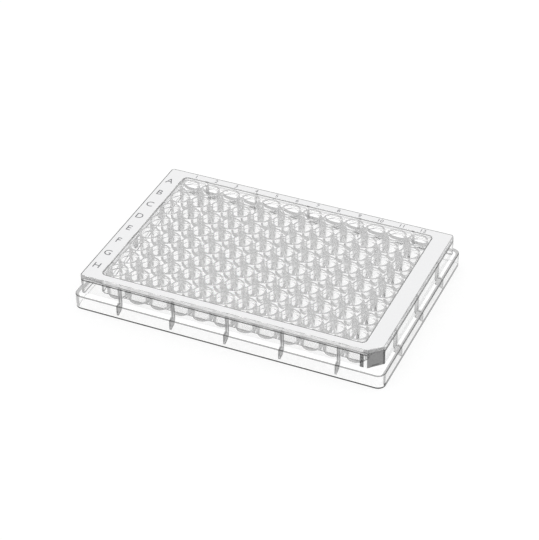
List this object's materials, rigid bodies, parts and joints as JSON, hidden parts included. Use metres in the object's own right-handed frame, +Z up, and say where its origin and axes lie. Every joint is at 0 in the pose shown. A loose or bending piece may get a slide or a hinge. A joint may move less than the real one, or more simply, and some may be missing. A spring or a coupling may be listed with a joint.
{
  "type": "well plate",
  "caption": "Shallow rectangular plate of clear plastic with a grid of small round flat-bottomed wells, a wide flat rim, a stepped-out skirt and one cut corner.",
  "frame": {"origin": "middle of the footprint, on the surface that the plate stands on", "axes": "+X along the long side from column 1 to column 12, +Y along the short side from row H to row A, +Z up out of the wells"},
  "size_m": [0.1278, 0.0854, 0.0143],
  "materials": {
    "clear_plastic": "clear moulded polystyrene, glossy, see-through",
    "rim_field": "pale field on the top of the rim, matt",
    "grid_marks": "grey row letters and column numbers, matt"
  },
  "bodies": {
    "root": {"plate": "clear_plastic"}
  },
  "joints": []
}
